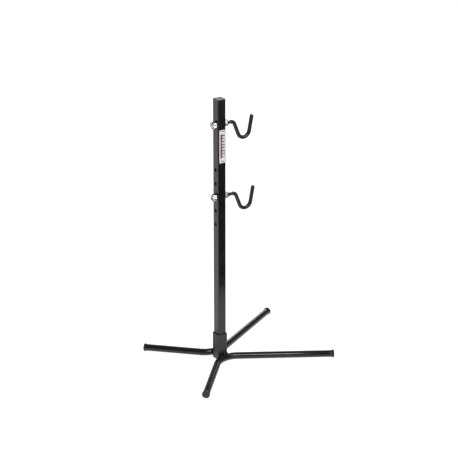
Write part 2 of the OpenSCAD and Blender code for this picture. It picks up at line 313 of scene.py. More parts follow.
def painted_steel(name, gloss, shade=0.005):
    """Black powder coat: orange peel, cloudy gloss, thin bright wear on edges and a trace of dust."""
    finish = Finish(name, IOR=1.46)
    cloud = finish.noise(30 * MM, 0, 1, detail=4)
    worn = finish.times(finish.edge, finish.noise(4 * MM, 0, 1, contrast=(0.5, 0.62)))
    dusty = finish.noise(12 * MM, 0, 0.05, detail=6, contrast=(0.5, 0.8))
    paint = finish.blend(cloud, grey(shade, -0.02), grey(shade * 1.6, 0.02))
    dusted = finish.blend(dusty, paint, grey(0.1, 0.08))
    finish.feed("Base Color", finish.blend(worn, dusted, grey(0.06, 0.03)))
    rough = finish.blend_value(cloud, gloss, gloss + 0.06)
    finish.feed("Roughness", finish.blend_value(dusty, rough, 0.9))
    finish.relief(1.6 * MM, 0.02 * MM, 0.3, detail=2)
    finish.relief(20 * MM, 0.1 * MM, 0.15, detail=1)
    return finish.material


def plating(name, level, roughness, tint=0.0, stains=0.25):
    """Zinc or chrome plate: bright metal with a cloudy sheen, fine turning marks and duller stains."""
    finish = Finish(name, Metallic=1.0)
    cloud = finish.noise(6 * MM, 0, 1, detail=5)
    stain = finish.noise(3 * MM, 0, stains, contrast=(0.5, 0.75))
    bright = finish.blend(cloud, grey(level, tint), grey(level * 0.86, tint + 0.02))
    finish.feed("Base Color", finish.blend(stain, bright, grey(level * 0.45, 0.05)))
    finish.rough(cloud, roughness, 0.14)
    finish.relief(0.6 * MM, 0.01 * MM, 0.5, stretch=(1, 0.25, 1))
    finish.relief(4 * MM, 0.05 * MM, 0.2)
    return finish.material


def soft_black(name, shade, roughness, grain):
    """Black rubber or vinyl: matt, finely grained, with pale rubbed edges and specks of dust."""
    finish = Finish(name, IOR=1.48, Sheen_Weight=0.02, Sheen_Roughness=0.4)
    cloud = finish.noise(18 * MM, 0, 1, detail=4)
    specks = finish.noise(1.2 * MM, 0, 0.2, contrast=(0.68, 0.8))
    rubbed = finish.times(finish.edge, finish.noise(3 * MM, 0, 0.6))
    base = finish.blend(cloud, grey(shade, 0.01), grey(shade * 1.6, 0.03))
    rubbed_base = finish.blend(rubbed, base, grey(shade * 4, 0.04))
    finish.feed("Base Color", finish.blend(specks, rubbed_base, grey(0.14, 0.08)))
    finish.rough(cloud, roughness, 0.15)
    finish.relief(grain, grain * 0.06, 0.6, detail=2)
    finish.relief(8 * MM, 0.15 * MM, 0.3, detail=2)
    return finish.material


def print_ink(name, colour, roughness=0.35):
    """Screen-printed ink: nearly even colour, with thin patches and a faint grain."""
    finish = Finish(name, IOR=1.45, Coat_Weight=0.2, Coat_Roughness=0.2)
    cloud = finish.noise(4 * MM, 0, 1, detail=5)
    thin = (*(channel * 0.8 + 0.02 for channel in colour), 1)
    scuff = finish.noise(1.8 * MM, 0, 0.25, contrast=(0.62, 0.75))
    body = finish.blend(cloud, (*colour, 1), thin)
    finish.feed("Base Color", finish.blend(scuff, body, grey(0.3)))
    finish.rough(cloud, roughness, 0.15)
    finish.relief(0.7 * MM, 0.01 * MM, 0.4)
    return finish.material


base_paint = painted_steel("base_paint", 0.1)
socket_paint = painted_steel("socket_paint", 0.42, 0.012)
post_paint = painted_steel("post_paint", 0.16)
rod_paint = painted_steel("rod_paint", 0.2)
foot_plastic = soft_black("foot_plastic", 0.006, 0.34, 0.9 * MM)
cap_plastic = soft_black("cap_plastic", 0.03, 0.34, 0.8 * MM)
ring_rubber = soft_black("ring_rubber", 0.012, 0.5, 0.7 * MM)
sleeve_rubber = soft_black("sleeve_rubber", 0.005, 0.24, 1.1 * MM)
washer_zinc = plating("washer_zinc", 0.5, 0.3, -0.02)
nut_zinc = plating("nut_zinc", 0.26, 0.32, -0.02)
hand_nut_chrome = plating("hand_nut_chrome", 0.82, 0.18, stains=0.12)
stud_zinc = plating("stud_zinc", 0.45, 0.25)
# Painted shade: a near-black metal for the hand nuts' pocket walls and floors, darkening them as shade in the hollows
# would
pocket_painted_shade = plating("pocket_painted_shade", 0.05, 0.5, 0.03)
strip_film = print_ink("strip_film", (0.6, 0.59, 0.575), 0.3)
red_ink = print_ink("red_ink", (0.15, 0.006, 0.012))
black_ink = print_ink("black_ink", (0.012, 0.012, 0.013))


# ---- mesh building ----

BEND_STEP = radians(3)
WEAR_FROM = 13
WEAR_OVER = 7
MERGE_DISTANCE = 0.001 * MM
SHARP_ANGLE = radians(35)
CORNER_STEPS = 6


class Shell:
    """Points and faces of one mesh, gathered loop by loop."""

    def __init__(self):
        self.points, self.faces, self.finishes = [], [], []

    def loop(self, points):
        first = len(self.points)
        self.points.extend(Vector(point) for point in points)
        return list(range(first, len(self.points)))

    def face(self, corners, finish=0):
        self.faces.append(corners)
        self.finishes.append(finish)

    def bridge(self, a, b, finish=0, skip=()):
        """Joins two loops. A loop of one point takes a fan."""
        count = max(len(a), len(b))
        for i in range(count):
            if i in skip:
                continue
            j = (i + 1) % count
            corners = []
            for loop, places in ((a, (i, j)), (b, (j, i))):
                corners += [loop[0]] if len(loop) == 1 else [loop[k] for k in places]
            self.face(corners, finish)

    def chain(self, loops, joined=False, finish=0):
        """Joins each loop to the next, and the last to the first where it is joined."""
        for a, b in zip(loops, loops[1:] + (loops[:1] if joined else [])):
            self.bridge(a, b, finish)


class Path:
    """Straight runs and bends in one plane, measured by the distance along them."""

    def __init__(self, place, start=(0, 0), heading=0.0, moves=()):
        """place is the plane's matrix. A move is (length, turn), a bend where turn isn't 0."""
        self.place, self.parts, self.length = place, [], 0.0
        point = Vector(start)
        for length, turn in moves or [(0.0, 0.0)]:
            self.parts.append((self.length, point, heading, length, turn))
            point, heading = self.after(point, heading, length, turn, length)
            self.length += length

    @staticmethod
    def after(point, heading, length, turn, distance):
        """Point and heading after a distance into a move."""
        if turn == 0:
            return point + distance * Vector((cos(heading), sin(heading))), heading
        radius = length / turn
        end = heading + distance / radius
        step = Vector((sin(end) - sin(heading), cos(heading) - cos(end)))
        return point + radius * step, end

    def at(self, distance):
        """Place and heading, as vectors in the part's frame. The line runs on straight past its ends."""
        first, point, heading, length, turn = [p for p in self.parts if p[0] <= max(distance, 0.0)][-1]
        inside = min(max(distance - first, 0.0), length)
        point, heading = self.after(point, heading, length, turn, inside)
        ahead = Vector((cos(heading), sin(heading)))
        point = point + (distance - first - inside) * ahead
        return self.place @ point.to_3d(), self.place.to_3x3() @ ahead.to_3d()

    def around(self, distance, angle, radius):
        """A point beside the line. Angle 0 is to the left of the heading, in the plane."""
        centre, ahead = self.at(distance)
        across = self.place.to_3x3() @ Vector((0, 0, 1))
        return centre + radius * (cos(angle) * across.cross(ahead) + sin(angle) * across)

    def stops(self, start, end, step):
        """Distances from start to end: close together in bends and far apart on straights."""
        found = [start]
        for first, _, _, length, turn in self.parts:
            count = max(1, ceil(abs(turn) / BEND_STEP if turn else length / step))
            found += [first + length * i / count for i in range(count + 1)]
        return sorted({round(d, 7) for d in found + [end] if start <= d <= end})


def turned(shell, path, profile, steps, joined=False, finish=0, shape=None):
    """Rings round a path, from (distance, radius) pairs. shape, if given, returns a point's own radius."""
    loops = []
    for distance, radius in profile:
        ring = []
        for angle in all_round(steps)[:steps if radius > 0 else 1]:
            ring.append(path.around(distance, angle, shape(distance, angle, radius) if shape else radius))
        loops.append(shell.loop(ring))
    shell.chain(loops, joined, finish)


def all_round(steps):
    """Angles of one full turn."""
    return [2 * pi * i / steps for i in range(steps)]


def circle(radius, angles):
    return [(radius * cos(a), radius * sin(a)) for a in angles]


def rounded(corners, steps=4):
    """A flat outline with round corners. Each corner is (x, y, radius)."""
    out = []
    for i, (x, y, radius) in enumerate(corners):
        here = Vector((x, y))
        if radius == 0:
            out.append(tuple(here))
            continue
        before = (Vector(corners[i - 1][:2]) - here).normalized()
        after = (Vector(corners[(i + 1) % len(corners)][:2]) - here).normalized()
        half = before.angle(after) / 2
        reach = radius / tan(half)
        centre = here + (before + after).normalized() * radius / sin(half)
        first, last = here + before * reach - centre, here + after * reach - centre
        sweep = atan2(first.x * last.y - first.y * last.x, first.dot(last))
        for k in range(steps + 1):
            out.append(tuple(centre + Matrix.Rotation(sweep * k / steps, 2) @ first))
    return out


def mark_edges(bm):
    """Stores on each point how sharply the surface turns outwards there, for worn edges."""
    layer = bm.verts.layers.float.new("edge")
    for vert in bm.verts:
        turns = [edge.calc_face_angle_signed(0) for edge in vert.link_edges if len(edge.link_faces) == 2]
        sharp = degrees(max(turns, default=0))
        vert[layer] = min(max((sharp - WEAR_FROM) / WEAR_OVER, 0), 1)


pieces = {}


def piece(name, shell, finishes, body, slot, node=None):
    """A finished mesh that rides on a body and stands for a CAD node."""
    bm = bmesh.new()
    corners = [bm.verts.new(point) for point in shell.points]
    for face, finish in zip(shell.faces, shell.finishes):
        made = bm.faces.new([corners[i] for i in face])
        made.material_index = finish
        made.smooth = True
    bmesh.ops.remove_doubles(bm, verts=bm.verts, dist=MERGE_DISTANCE)
    bmesh.ops.recalc_face_normals(bm, faces=bm.faces)
    mark_edges(bm)
    mesh = bpy.data.meshes.new(name)
    bm.to_mesh(mesh)
    bm.free()
    mesh.set_sharp_from_angle(angle=SHARP_ANGLE)
    for finish in finishes:
        mesh.materials.append(finish)
    made = put(name, mesh)
    flat_faces = made.modifiers.new("flat faces", "WEIGHTED_NORMAL")
    flat_faces.keep_sharp = True
    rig.ride(made, body)
    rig.slot(made, slot)
    if node:
        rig.replaces(made, node)
    pieces[name] = made
    return made


# ---- base ----

SOCKET_WALL = 2 * MM
SOCKET_CORNER = 2 * MM
SOCKET_RIM = 0.5 * MM
LEAST_CORNER = 0.3 * MM
TUBE_R = 8 * MM
TUBE_WALL = 1.5 * MM
LEG_BEND_R = 52 * MM
INNER_SPLAY = radians(28.7)
OUTER_SPLAY = radians(46.6)
FOOT_HALF_SPAN = 135.2 * MM
WELD_Z = 13 * MM
WELD_SHIFT = 6.2 * MM
BEAD_R = 2.6 * MM
BEAD_BITE = 0.6 * MM
FOOT_R = 9 * MM
FOOT_FLAT = 0.4 * MM
FOOT_HEAD_L = 6 * MM
FOOT_STEM_L = 14 * MM
FOOT_STEM_R = 6.4 * MM
FOOT_STEM_WALL = 1.6 * MM
FOOT_EDGE = 0.35 * MM
FOOT_STEPS = 64
# A foot cap's face and grip groove, in mm: distance from its end, depth below FOOT_R, corner radius
FOOT_OUTLINE = ((0, 1.1, 0), (0.25, 1.1, 0), (0.9, 0, 0.8), (4.2, 0, 0.3), (4.5, 0.35, 0.2),
                (5.0, 0.35, 0.2), (5.3, 0, 0.3))
# Its crown, in mm: distance, radius
FOOT_CROWN = ((0, 0), (0, 1.4), (0.12, 4))
LEG_STOP = 12 * MM
LEG_STEPS = 56
WELD_MARGIN = 0.4 * MM
RIPPLE = 1.5 * MM
RIPPLE_LEAN = 0.9 * MM
RIPPLE_DEPTH = 0.1
WANDER = 0.04
WANDER_RATE = 900
BEAD_STEPS = 28
BEAD_RUN_STEPS = 48
BEAD_END = [radians(a) for a in (0, 18, 36, 54, 72)]


def square_loop(width, corner, z):
    """Points round a square with round corners, centred on the post's axis."""
    half = width / 2
    corners = [(i * half, j * half, corner) for i, j in ((1, -1), (1, 1), (-1, 1), (-1, -1))]
    return [(x, y, z) for x, y in rounded(corners, CORNER_STEPS)]


def square_tube_profile(width, wall, corner, low, high, rim):
    """Loops of a square tube's skin, with round rims: (width, corner radius, height)."""
    outer = [(width - 2 * rim * a, low + rim * b) for a, b in RIM]
    outer += [(width - 2 * rim * b, high - rim * a) for a, b in RIM]
    inner_w = width - 2 * wall
    inner = [(inner_w + 2 * rim * a, high - rim * b) for a, b in RIM]
    inner += [(inner_w + 2 * rim * b, low + rim * a) for a, b in RIM]
    return [(w, max(corner + (w - width) / 2, LEAST_CORNER), z) for w, z in outer + inner]


def make_socket():
    low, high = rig.box("base_socket")
    shell = Shell()
    profile = square_tube_profile(high.x - low.x, SOCKET_WALL, SOCKET_CORNER, low.z, high.z, SOCKET_RIM)
    shell.chain([shell.loop(square_loop(*level)) for level in profile], joined=True)
    piece("socket_sleeve", shell, [socket_paint], "base", "base_paint", "base_socket")


socket_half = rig.box("base_socket")[1].x
weld_x = socket_half + TUBE_R
foot_z = FOOT_R - FOOT_FLAT
leg_tilt = atan2(WELD_Z - foot_z, FOOT_HALF_SPAN - weld_x)
leg_run = (FOOT_HALF_SPAN - weld_x) / cos(leg_tilt)
leg_plane = Matrix.Translation((weld_x, WELD_SHIFT, WELD_Z)) @ Matrix.Rotation(leg_tilt, 4, "Y")
mirrored = Matrix.Diagonal((-1, 1, 1, 1))


def leg_length(splay):
    return (leg_run - LEG_BEND_R * (1 - cos(splay))) / sin(splay)


def leg_path(side):
    """The centre line of a leg tube, from the end of its outer leg to the end of its inner one."""
    inner_l, outer_l = leg_length(INNER_SPLAY), leg_length(OUTER_SPLAY)
    bend_start = LEG_BEND_R * (1 - cos(OUTER_SPLAY)), -LEG_BEND_R * sin(OUTER_SPLAY)
    start = Vector(bend_start) + outer_l * Vector((sin(OUTER_SPLAY), -cos(OUTER_SPLAY)))
    bend = OUTER_SPLAY + INNER_SPLAY
    place = leg_plane if side > 0 else mirrored @ leg_plane
    return Path(place, start, pi / 2 + OUTER_SPLAY,
                [(outer_l, 0), (LEG_BEND_R * bend, -bend), (inner_l, 0)])


def make_leg(path, name, node):
    stops = path.stops(FOOT_HEAD_L, path.length - FOOT_HEAD_L, LEG_STOP)
    profile = [(d, TUBE_R) for d in stops] + [(d, TUBE_R - TUBE_WALL) for d in reversed(stops)]
    shell = Shell()
    turned(shell, path, profile, LEG_STEPS, joined=True)
    piece(name, shell, [base_paint], "base", "base_paint", node)


def make_foot(path, far, name, node):
    """A plastic cap on one end of a leg: crowned face, grip groove, stem, and a flat underneath."""
    outline = [(d * MM, FOOT_R - depth * MM, corner * MM) for d, depth, corner in FOOT_OUTLINE]
    outline += [(FOOT_HEAD_L, FOOT_R, FOOT_EDGE), (FOOT_HEAD_L, 0, 0)]
    head = rounded(outline)[1:-1]
    crown = [(distance * MM, radius * MM) for distance, radius in FOOT_CROWN]
    stem_end = FOOT_HEAD_L + FOOT_STEM_L
    inner_r = FOOT_STEM_R - FOOT_STEM_WALL
    stem = [(FOOT_HEAD_L, FOOT_STEM_R), (stem_end, FOOT_STEM_R), (stem_end, inner_r),
            (FOOT_HEAD_L, inner_r), (FOOT_HEAD_L, 0)]
    profile = crown + head + stem
    if far:
        profile = [(path.length - distance, radius) for distance, radius in profile]
    shell = Shell()
    turned(shell, path, profile, FOOT_STEPS)
    flatten_below_floor(piece(name, shell, [foot_plastic], "base", "foot_plastic", node))


def flatten_below_floor(made):
    """Cuts a foot off flat at the floor."""
    bm = bmesh.new()
    bm.from_mesh(made.data)
    everything = bm.verts[:] + bm.edges[:] + bm.faces[:]
    cut = bmesh.ops.bisect_plane(bm, geom=everything, plane_co=(0, 0, 0), plane_no=(0, 0, -1),
                                 clear_outer=True)
    rim = [e for e in cut["geom_cut"] if isinstance(e, bmesh.types.BMEdge)]
    bmesh.ops.contextual_create(bm, geom=rim)
    bm.to_mesh(made.data)
    bm.free()
    made.data.set_sharp_from_angle(angle=SHARP_ANGLE)


def make_weld(shell, side):
    """A rippled bead in the groove between one leg tube and the socket."""
    bead_x = socket_half + BEAD_R - BEAD_BITE
    rise = sqrt((TUBE_R + BEAD_R - BEAD_BITE) ** 2 - (weld_x - bead_x) ** 2)
    half = socket_half - WELD_SHIFT - WELD_MARGIN

    def bead(distance, angle, radius):
        """Each ripple bulges and leans back at its sides."""
        phase = (distance + RIPPLE_LEAN * cos(angle)) / RIPPLE
        wave = abs(sin(pi * phase))
        wander = WANDER * sin(distance * WANDER_RATE + side)
        return radius * (1 - RIPPLE_DEPTH + RIPPLE_DEPTH * wave + wander * cos(angle))

    place = Matrix.Translation((side * bead_x, WELD_SHIFT - half, WELD_Z + rise))
    path = Path(place, (0, 0), pi / 2, [(2 * half, 0)])
    start = [(BEAD_R * (1 - cos(a)), BEAD_R * sin(a)) for a in BEAD_END]
    run = [(BEAD_R + (2 * half - 2 * BEAD_R) * i / BEAD_RUN_STEPS, BEAD_R)
           for i in range(BEAD_RUN_STEPS + 1)]
    finish = [(2 * half - d, r) for d, r in reversed(start)]
    turned(shell, path, start + run + finish, BEAD_STEPS, shape=bead)


def make_base():
    make_socket()
    for side, word in ((1, "right"), (-1, "left")):
        path = leg_path(side)
        make_leg(path, f"{word}_leg", f"leg_tube_{word}")
        for far, end in enumerate(("outer", "inner")):
            make_foot(path, far, f"{end}_{word}_foot", f"foot_cap_{end}_{word}")
    shell = Shell()
    for side in (1, -1):
        make_weld(shell, side)
    piece("weld_beads", shell, [base_paint], "base", "base_paint", "base_welds")
    plate = frame["nodes"]["post_rest_plate"]
    plate.data.materials.clear()
    plate.data.materials.append(base_paint)


# ---- post ----

POST_WALL = 1.5 * MM
POST_CORNER = 1 * MM
POST_RIM = 0.3 * MM
HOLE_R = 4.1 * MM
HOLE_RIM = 0.3 * MM
HOLE_STEPS = 48
HOLE_PATCH = 6.5 * MM
HOLE_ANGLES = [radians(-45 + 360 * i / HOLE_STEPS) for i in range(HOLE_STEPS)]
CAP_CORNER = 1.4 * MM
CAP_EDGE = 0.2 * MM
CAP_BEND = 0.5 * MM
CAP_CROWN = 0.15 * MM
# Rings on the cap's crowned top, in mm: width, corner radius, depth below its highest point
CAP_TOP = ((14, 0.8, 0.06), (7, 0.4, 0.01))
PLUG_W = 16 * MM
PLUG_BORE = 12.4 * MM
PLUG_CORNER = 0.4 * MM
PLUG_LEAD = 0.6 * MM
RIBS = 3
RIB_W = 16.8 * MM
RIB_RAMP = 0.6 * MM
RIB_L = 1 * MM


def stud_z(word):
    low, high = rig.box(f"{word}_lock_washer")
    return (low.z + high.z) / 2


def hole_heights():
    """Heights of the upper stud's hole and of the row, whose middle hole holds the lower stud."""
    pattern = next(m for m in frame["record"]["mounts"] if m["kind"] == "bolt_pattern")
    pitch = pattern["dims"]["spacing_y_mm"] * MM
    return [stud_z("lower") + step * pitch for step in (-2, -1, 0, 1, 2)] + [stud_z("upper")]


def make_post():
    """The post's tube. Its holes have round rims, outside and inside."""
    low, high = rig.box("post_tube")
    half = (high.x - low.x) / 2
    skin = square_tube_profile(2 * half, POST_WALL, POST_CORNER, low.z, high.z, POST_RIM)
    heights = hole_heights()
    levels = [z + step for z in heights for step in (-HOLE_PATCH, HOLE_PATCH)]
    bend = len(RIM)
    outer = skin[:bend] + [(*skin[bend - 1][:2], z) for z in levels] + skin[bend:2 * bend]
    inner = skin[2 * bend:3 * bend] + [(*skin[3 * bend - 1][:2], z) for z in reversed(levels)]
    inner += skin[3 * bend:]
    shell = Shell()
    loops = [shell.loop(square_loop(*level)) for level in outer + inner]
    corner = len(loops[0]) // 4
    flats = {1: (2 * corner - 1, 2 * corner), -1: (0, 4 * corner - 1)}
    holed = {bend + 2 * i: z for i, z in enumerate(heights)}
    holed |= {len(outer) + bend + 2 * i: z for i, z in enumerate(reversed(heights))}
    edge = [(HOLE_R + HOLE_RIM * a, HOLE_RIM * b) for a, b in RIM]
    edge += [(r, POST_WALL - depth) for r, depth in reversed(edge)]
    rings = {}
    for z in heights:
        for side in (1, -1):
            made = [shell.loop((x, side * (half - depth), z + up) for x, up in circle(r, HOLE_ANGLES))
                    for r, depth in edge]
            shell.chain(made)
            rings[z, side] = made
    for i, loop in enumerate(loops):
        after = loops[(i + 1) % len(loops)]
        if i not in holed:
            shell.bridge(loop, after)
            continue
        shell.bridge(loop, after, skip=(2 * corner - 1, 4 * corner - 1))
        lower, upper = (loop, after) if i < len(outer) else (after, loop)
        for side, (right, left) in flats.items():
            ring = rings[holed[i], side][0 if i < len(outer) else -1]
            frame_corners = [lower[right], upper[right], upper[left], lower[left]]
            quarter = HOLE_STEPS // 4
            for k in range(4):
                arc = [ring[(quarter * k + n) % HOLE_STEPS] for n in range(quarter, -1, -1)]
                shell.face([frame_corners[k], frame_corners[(k + 1) % 4]] + arc)
    return piece("post_skin", shell, [post_paint], "post", "post_paint", "post_tube")


def make_post_cap():
    """A moulded cap: crowned flange, ribbed plug and an open underside."""
    low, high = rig.box("post_cap")
    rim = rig.box("post_tube")[1].z
    width = high.x - low.x
    shell = Shell()
    levels = [(PLUG_BORE, rim), (PLUG_BORE, low.z), (PLUG_W - PLUG_LEAD, low.z),
              (PLUG_W, low.z + PLUG_LEAD / 2)]
    for i in range(1, RIBS + 1):
        z = low.z + (rim - low.z) * i / (RIBS + 1)
        levels += [(PLUG_W, z), (RIB_W, z + RIB_RAMP), (RIB_W, z + RIB_L), (PLUG_W, z + RIB_L)]
    levels = [(across, PLUG_CORNER, z) for across, z in levels + [(PLUG_W, rim)]]
    levels += [(width - 2 * CAP_EDGE, CAP_CORNER - CAP_EDGE, rim), (width, CAP_CORNER, rim + CAP_EDGE)]
    levels += [(width - 2 * CAP_BEND * b, CAP_CORNER - CAP_BEND * b, high.z - CAP_CROWN - CAP_BEND * a)
               for a, b in RIM]
    levels += [(across * MM, corner * MM, high.z - drop * MM) for across, corner, drop in CAP_TOP]
    loops = [shell.loop([(0, 0, rim)])]
    loops += [shell.loop(square_loop(*level)) for level in levels]
    loops += [shell.loop([(0, 0, high.z)])]
    shell.chain(loops)
    piece("post_cap_moulding", shell, [cap_plastic], "post", "cap_plastic", "post_cap")


# ---- scale strip ----

INK = 0.03 * MM
RED_MIDDLE = 0.33
RED_WIDTH = 0.28
MARK_MIDDLE = 0.725
MARK_HEIGHT = 0.39
MARK_SWELL = 0.4 * MM
MARKS = 8
# A digit's height as a share of its font's size
DIGIT_SHARE = 0.7
DIGIT_CURVE = 4
FILM_CORNER = 1 * MM
BAR_W = 8 * MM
BAR_H = 1.8 * MM
# The two bars' middles: aside from the column of numbers, and up from the strip's top or bottom
TOP_BAR = (-1 * MM, -3 * MM)
BOTTOM_BAR = (-2.2 * MM, 4 * MM)


def slab(shell, outline, back, front):
    """A flat piece on the post's side face. The outline is (y, z) pairs."""
    loops = [shell.loop((x, y, z) for y, z in outline) for x in (back, front)]
    shell.bridge(*loops)
    for loop in loops:
        shell.face(loop)


def bar(y, z, width, height):
    """A rectangle's outline round its middle."""
    return [(y + i * width / 2, z + j * height / 2) for i, j in ((-1, -1), (1, -1), (1, 1), (-1, 1))]


def print_number(shell, number, y, z, height, back):
    """A bold number in raised ink on the post's side face, turned to read upwards."""
    curve = bpy.data.curves.new("number", "FONT")
    curve.body = str(number)
    curve.size = height / DIGIT_SHARE
    curve.offset = MARK_SWELL
    curve.align_x = curve.align_y = "CENTER"
    curve.extrude = INK / 2
    curve.resolution_u = DIGIT_CURVE
    carrier = put("number", curve)
    mesh = bpy.data.meshes.new_from_object(carrier)
    first = len(shell.points)
    shell.points += [Vector((back + INK / 2 + v.co.z, y - v.co.y, z + v.co.x)) for v in mesh.vertices]
    for polygon in mesh.polygons:
        shell.face([first + i for i in polygon.vertices])
    bpy.data.objects.remove(carrier)
    bpy.data.meshes.remove(mesh)


def make_scale_strip(post):
    """A white film with a red block and a plain row of numbers."""
    low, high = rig.box("scale_plate")
    width = high.y - low.y
    back = high.x - INK
    film = Shell()
    middle = (low + high) / 2
    edge = [(y, z, FILM_CORNER) for y, z in bar(middle.y, middle.z, width, high.z - low.z)]
    slab(film, rounded(edge, CORNER_STEPS), low.x, back)
    piece("scale_film", film, [strip_film], "post", "scale_print", "scale_plate")
    top, bottom = [on_surface(f"red_block_{end}", post).z for end in ("top", "bottom")]
    red = Shell()
    block = bar(low.y + RED_MIDDLE * width, (top + bottom) / 2, RED_WIDTH * width, top - bottom)
    slab(red, block, back, high.x)
    piece("red_block", red, [red_ink], "post", "scale_print")
    black = Shell()
    column = low.y + MARK_MIDDLE * width
    for number in range(1, MARKS + 1):
        z = bottom + (number - 0.5) * (top - bottom) / MARKS
        print_number(black, number, column, z, MARK_HEIGHT * width, back)
    for end, (aside, up) in ((high.z, TOP_BAR), (low.z, BOTTOM_BAR)):
        slab(black, bar(column + aside, end + up, BAR_W, BAR_H), back, high.x)
    piece("scale_marks", black, [black_ink], "post", "scale_print")


# ---- hooks ----

STUD_R = 4 * MM
ROD_R = 3.6 * MM
ROD_STEPS = 36
THREAD_PITCH = 1.25 * MM
THREAD_ROOT = 3.4 * MM
THREAD_TIP = THREAD_ROOT - 0.1 * MM
# Half a crest and the length of a flank, as shares of the pitch
CREST = 1 / 16
FLANK = 5 / 16
RUN_OUT = 2 * MM
THREAD_SLICES = 8
PLATED_ROWS = 160
THREAD_L = 45.1 * MM
STUD_L = 51.1 * MM
SHOULDER_R = 10 * MM
DROP_ANGLE = radians(68)
DROP_L = 26.8 * MM
CRADLE_R = 15 * MM
CRADLE_ANGLE = radians(147)
TIP_L = 33 * MM
SLEEVE_R = 4.5 * MM
SLEEVE_BORE_R = 3.65 * MM
SLEEVE_STEPS = 40
SLEEVE_STOP = 4 * MM
SLEEVE_LIP_R = 0.35 * MM
SLEEVE_LIP_L = 2 * MM
SLEEVE_DOME = [radians(9 * i) for i in range(1, 10)]
CREASE_PITCH = 2.4 * MM
CREASE_DEPTH = 0.16 * MM
CREASE_FADE = 6 * MM
CREASE_SKIN = 0.4 * MM
SAG = 0.04 * MM
SAG_L = 5 * MM
ROD_STOP = 8 * MM


def stud_place(y, z, side=1):
    """The plane x = 0 at a point of a stud's axis, with its first axis pointing away from the post."""
    return Matrix(((0, 0, side, 0), (side, 0, 0, y), (0, 1, 0, z), (0, 0, 0, 1)))


def hook_path(word):
    """Centre line of a hook's rod, from the free end of its stud to its tip."""
    place = stud_place(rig.box(f"{word}_hook_rod")[0].y, stud_z(word))
    return Path(place, (0, 0), 0.0, [(STUD_L, 0), (SHOULDER_R * DROP_ANGLE, -DROP_ANGLE), (DROP_L, 0),
                                     (CRADLE_R * CRADLE_ANGLE, CRADLE_ANGLE), (TIP_L, 0)])


def thread_radius(distance, angle):
    """Radius of a screw thread, chamfered at its start and running out into the rod at its end."""
    phase = abs((distance / THREAD_PITCH - angle / (2 * pi) + 0.5) % 1 - 0.5)
    flank = min(max((phase - CREST) / FLANK, 0), 1)
    radius = min(STUD_R + (THREAD_ROOT - STUD_R) * flank, THREAD_TIP + distance)
    faded = min(max((distance - THREAD_L) / RUN_OUT + 1, 0), 1)
    return radius + (ROD_R - radius) * faded


def make_rod(word):
    """A rod with a cut thread on its stud."""
    path = hook_path(word)
    shell = Shell()
    rows = []
    for k in range(-THREAD_SLICES, ceil(THREAD_L / THREAD_PITCH * THREAD_SLICES) + 1):
        row = []
        for j in range(ROD_STEPS + 1):
            angle = 2 * pi * j / ROD_STEPS
            distance = min(max(THREAD_PITCH * (k / THREAD_SLICES + j / ROD_STEPS), 0), THREAD_L)
            row.append(path.around(distance, angle, thread_radius(distance, angle)))
        rows.append(shell.loop(row))
    for k, (a, b) in enumerate(zip(rows, rows[1:])):
        shell.bridge(a, b, 1 if k < PLATED_ROWS else 0, skip=(ROD_STEPS,))
    turned(shell, path, [(0, 0), (0, THREAD_TIP)], ROD_STEPS, finish=1)
    stops = path.stops(THREAD_L, path.length, ROD_STOP)
    turned(shell, path, [(d, ROD_R) for d in stops] + [(path.length, 0)], ROD_STEPS)
    piece(f"{word}_rod", shell, [rod_paint, stud_zinc], f"{word}_hook", "rod_paint", f"{word}_hook_rod")


def make_sleeve(word):
    """A dipped soft sleeve with a round end, a rolled lip, and creases on the inside of its bends."""
    path = hook_path(word)
    start, end = STUD_L, path.length
    shoulder_end = start + SHOULDER_R * DROP_ANGLE
    cradle_start = shoulder_end + DROP_L
    cradle_end = cradle_start + CRADLE_R * CRADLE_ANGLE

    def crease(distance, angle, radius):
        if radius < SLEEVE_R - CREASE_SKIN:
            return radius
        depth = 0.0
        for first, last, inside in ((start, shoulder_end, pi), (cradle_start, cradle_end, 0.0)):
            reach = min(distance - first, last - distance) / CREASE_FADE
            facing = max(cos(angle - inside), 0) ** 3
            wave = 0.5 - 0.5 * cos(2 * pi * distance / CREASE_PITCH)
            depth += min(max(reach, 0), 1) * facing * wave
        sag = SAG * (1 + sin(distance / SAG_L + 2 * angle))
        return radius - CREASE_DEPTH * depth - sag

    stops = path.stops(start, end, SLEEVE_STOP)
    lip = rounded([(start, SLEEVE_BORE_R, 0), (start, SLEEVE_R, SLEEVE_LIP_R),
                   (start + SLEEVE_LIP_L, SLEEVE_R, 0)])[:-1]
    dome = [(end + SLEEVE_R * sin(a), SLEEVE_R * cos(a)) for a in SLEEVE_DOME]
    bore_end = end + SLEEVE_BORE_R - ROD_R
    profile = [(bore_end, 0), (bore_end, SLEEVE_BORE_R)] + [(d, SLEEVE_BORE_R) for d in reversed(stops)]
    profile += lip[1:] + [(d, SLEEVE_R) for d in stops if d > lip[-1][0]] + dome + [(end + SLEEVE_R, 0)]
    shell = Shell()
    turned(shell, path, profile, SLEEVE_STEPS, shape=crease)
    piece(f"{word}_sleeve", shell, [sleeve_rubber], f"{word}_hook", "sleeve_rubber", f"{word}_hook_sleeve")


# ---- hardware on the studs ----

NUT_BORE_R = 4.05 * MM
WASHER_BORE_R = 4.2 * MM
# Radii of the round edges of a washer and of a rubber ring: at the bore, and outside
WASHER_EDGES = (0.15 * MM, 0.35 * MM)
RING_EDGES = (0.2 * MM, 0.6 * MM)
NUT_STEPS = 72
NUT_SINK = 0.35 * MM
NUT_FACE_INSET = 0.15 * MM
NUT_CORNER_CUT = 0.1 * MM
NUT_CHAMFER = radians(30)


